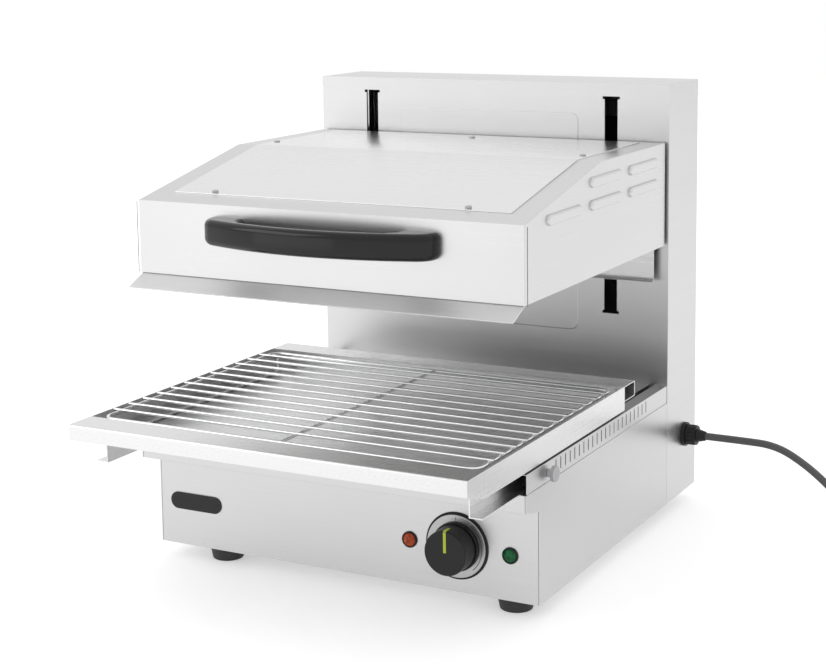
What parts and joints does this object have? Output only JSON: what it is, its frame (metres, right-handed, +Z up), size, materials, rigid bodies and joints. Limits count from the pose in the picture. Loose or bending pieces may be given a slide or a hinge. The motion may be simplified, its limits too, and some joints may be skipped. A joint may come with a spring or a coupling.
{
  "type": "salamander grill",
  "caption": "Countertop salamander grill: a heating head with a front handle slides up and down a rear column over a base with a pull-out rack and wire grid.",
  "frame": {"origin": "on the worktop, under the middle of the machine without its cord", "axes": "+X to the user's right, +Y to the back, +Z up; the rack and the handle are at -Y"},
  "size_m": [0.804, 0.6086, 0.5],
  "materials": {
    "bearing_plastic": "natural bearing plastic",
    "black_gloss": "glossy black moulding",
    "black_matt": "matt black moulding",
    "cast_weight": "rough cast",
    "cord_rubber": "dark grey rubber sheath",
    "dial_aluminium": "satin dial ring",
    "element_sheath": "heat-darkened sheath",
    "knob_black": "black satin knob",
    "lens_amber": "amber lens",
    "lens_green": "green lens",
    "pointer_lime": "lime green paint",
    "rubber_black": "black moulded rubber",
    "steel_brushed": "brushed stainless sheet",
    "steel_plain": "plain mill-finish sheet",
    "terminal_white": "moulded terminal block",
    "wire_plated": "bright plated wire",
    "zinc_steel": "zinc-plated steel"
  },
  "bodies": {
    "base": {"back_screws": "zinc_steel", "bezel_backing": "black_matt", "bezel_ring": "dial_aluminium", "bottom_pan": "steel_plain", "column_back": "steel_brushed", "column_shell": "steel_brushed", "cord_coil": "cord_rubber", "cord_gland": "black_matt", "deck_plate": "steel_brushed", "energy_regulator": "black_matt", "foot_front_left": "rubber_black", "foot_front_right": "rubber_black", "foot_rear_left": "rubber_black", "foot_rear_right": "rubber_black", "front_panel": "steel_brushed", "gland_nut": "black_matt", "guide_rods": "zinc_steel", "lamp_amber": "lens_amber", "lamp_green": "lens_green", "lamp_rims": "black_gloss", "nameplate": "black_matt", "plug": "black_matt", "power_cord": "cord_rubber", "pulley_hangers": "zinc_steel", "rod_brackets": "zinc_steel", "rope_back_strands": "zinc_steel", "rope_front_strands": "zinc_steel", "rope_wraps": "zinc_steel", "side_panel_left": "steel_brushed", "side_panel_right": "steel_brushed", "terminal_block": "terminal_white", "vent_rail_left": "steel_brushed", "vent_rail_right": "steel_brushed"},
    "head": {"head_shell": "steel_brushed", "head_top_plate": "steel_brushed", "top_plate_screws": "zinc_steel", "head_rear_plate": "steel_brushed", "deflector_lip": "steel_brushed", "reflector": "steel_plain", "heating_elements": "element_sheath", "element_hangers": "steel_plain", "handle": "black_gloss", "lift_arms": "zinc_steel", "guide_blocks": "bearing_plastic", "carriage_crossbar": "zinc_steel"},
    "counterweight": {"counterweight": "cast_weight"},
    "pulley_left": {"pulley_left": "bearing_plastic"},
    "pulley_right": {"pulley_right": "bearing_plastic"},
    "rack": {"rack_pan": "steel_brushed", "rack_front_bar": "steel_brushed", "rack_rear_bar": "steel_brushed", "rack_rail_left": "steel_brushed", "rack_rail_right": "steel_brushed"},
    "grid": {"wire_grid": "wire_plated", "grid_runners": "wire_plated"},
    "knob": {"control_knob": "knob_black", "knob_pointer": "pointer_lime", "knob_shaft": "zinc_steel"},
    "thumb_screw_left": {"thumb_screw_left": "zinc_steel"},
    "thumb_screw_right": {"thumb_screw_right": "zinc_steel"}
  },
  "joints": [
    {"name": "head_lift", "type": "slide", "parent": "base", "child": "head", "axis": [0, 0, 1], "range_m": [-0.068, 0.065], "deforming": ["rope_front_strands"]},
    {"name": "counterweight_slide", "type": "slide", "parent": "base", "child": "counterweight", "axis": [0, 0, 1], "range_m": [-0.068, 0.068], "deforming": ["rope_back_strands"]},
    {"name": "pulley_left_spin", "type": "hinge", "parent": "base", "child": "pulley_left", "pos_m": [-0.1, 0.2467, 0.457], "axis": [1, 0, 0], "range_deg": [-190, 190]},
    {"name": "pulley_right_spin", "type": "hinge", "parent": "base", "child": "pulley_right", "pos_m": [0.1, 0.2467, 0.457], "axis": [1, 0, 0], "range_deg": [-190, 190]},
    {"name": "rack_slide", "type": "slide", "parent": "base", "child": "rack", "axis": [0, 1, 0], "range_m": [-0.15, 0.088]},
    {"name": "grid_lift", "type": "slide", "parent": "rack", "child": "grid", "axis": [0, 0, 1], "range_m": [0, 0.06]},
    {"name": "knob_turn", "type": "hinge", "parent": "base", "child": "knob", "pos_m": [0.1355, -0.1513, 0.065], "axis": [0, 1, 0], "range_deg": [0, 270]},
    {"name": "thumb_screw_left_turn", "type": "hinge", "parent": "base", "child": "thumb_screw_left", "pos_m": [-0.2244, -0.1303, 0.1455], "axis": [1, 0, 0], "range_deg": [-180, 180]},
    {"name": "thumb_screw_right_turn", "type": "hinge", "parent": "base", "child": "thumb_screw_right", "pos_m": [0.2244, -0.1303, 0.1455], "axis": [1, 0, 0], "range_deg": [-180, 180]}
  ],
  "couplings": [
    {"joint": "counterweight_slide", "follows": "head_lift", "ratio": -1},
    {"joint": "pulley_left_spin", "follows": "head_lift", "rad_per_m": -47.619},
    {"joint": "pulley_right_spin", "follows": "head_lift", "rad_per_m": -47.619}
  ]
}
